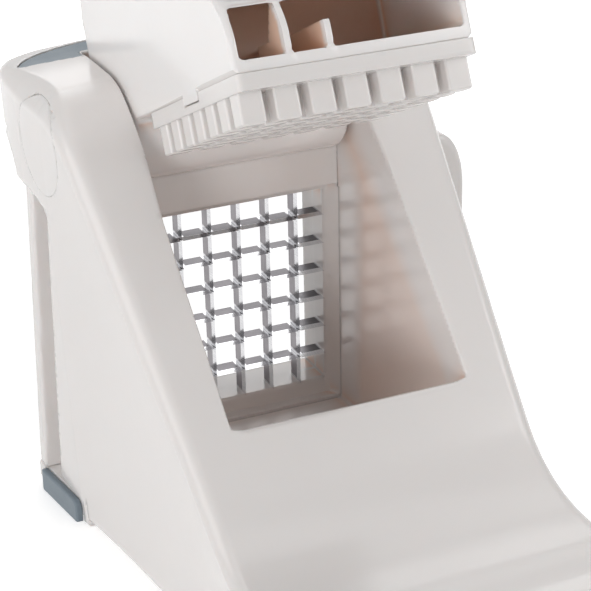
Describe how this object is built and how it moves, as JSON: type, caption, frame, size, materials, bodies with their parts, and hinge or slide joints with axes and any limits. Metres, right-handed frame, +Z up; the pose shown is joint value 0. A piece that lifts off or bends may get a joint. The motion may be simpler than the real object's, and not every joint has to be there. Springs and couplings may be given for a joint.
{
  "type": "french fry cutter",
  "caption": "Table-top cutter whose hinged lever swings a pegged pusher through a chamber and presses a vegetable through a square grid of crossed blades.",
  "frame": {"origin": "middle of the tower's footprint, on the table under the feet", "axes": "+Z up, +Y to the back where the sticks come out, +X along the lever's axle towards the cassette's pull grip"},
  "size_m": [0.1484, 0.2089, 0.3096],
  "materials": {
    "white_plastic": "glossy warm white moulding",
    "slate_rubber": "soft slate blue-grey grip",
    "grey_acetal": "plain bearing plastic",
    "blade_steel": "ground stainless steel",
    "zinc_steel": "plated screws"
  },
  "bodies": {
    "tower": {"body_shell": "white_plastic", "throat_frame": "white_plastic", "rear_frame": "white_plastic", "base_plate": "white_plastic", "base_screws": "zinc_steel", "slide_rails": "white_plastic", "front_feet": "slate_rubber", "left_rear_foot": "slate_rubber", "right_rear_foot": "slate_rubber", "head_pad": "slate_rubber", "left_bush": "grey_acetal", "right_bush": "grey_acetal", "left_washer": "zinc_steel", "right_washer": "zinc_steel", "left_cap": "white_plastic", "right_cap": "white_plastic"},
    "lever": {"lever_shell": "white_plastic", "pivot_axle": "blade_steel", "pusher_plate": "white_plastic", "pusher_screws": "zinc_steel", "handle_core": "white_plastic", "handle_grip": "slate_rubber", "handle_cap": "slate_rubber"},
    "cassette": {"cassette_holder": "white_plastic", "cassette_back": "white_plastic", "upright_blades": "blade_steel", "level_blades": "blade_steel", "cassette_screws": "zinc_steel"}
  },
  "joints": [
    {"name": "lever_hinge", "type": "hinge", "parent": "tower", "child": "lever", "pos_m": [0, 0.0577, 0.1312], "axis": [1, 0, 0], "range_deg": [0, 115.3]},
    {"name": "blade_slide", "type": "slide", "parent": "tower", "child": "cassette", "axis": [1, 0, 0], "range_m": [0, 0.115]}
  ]
}
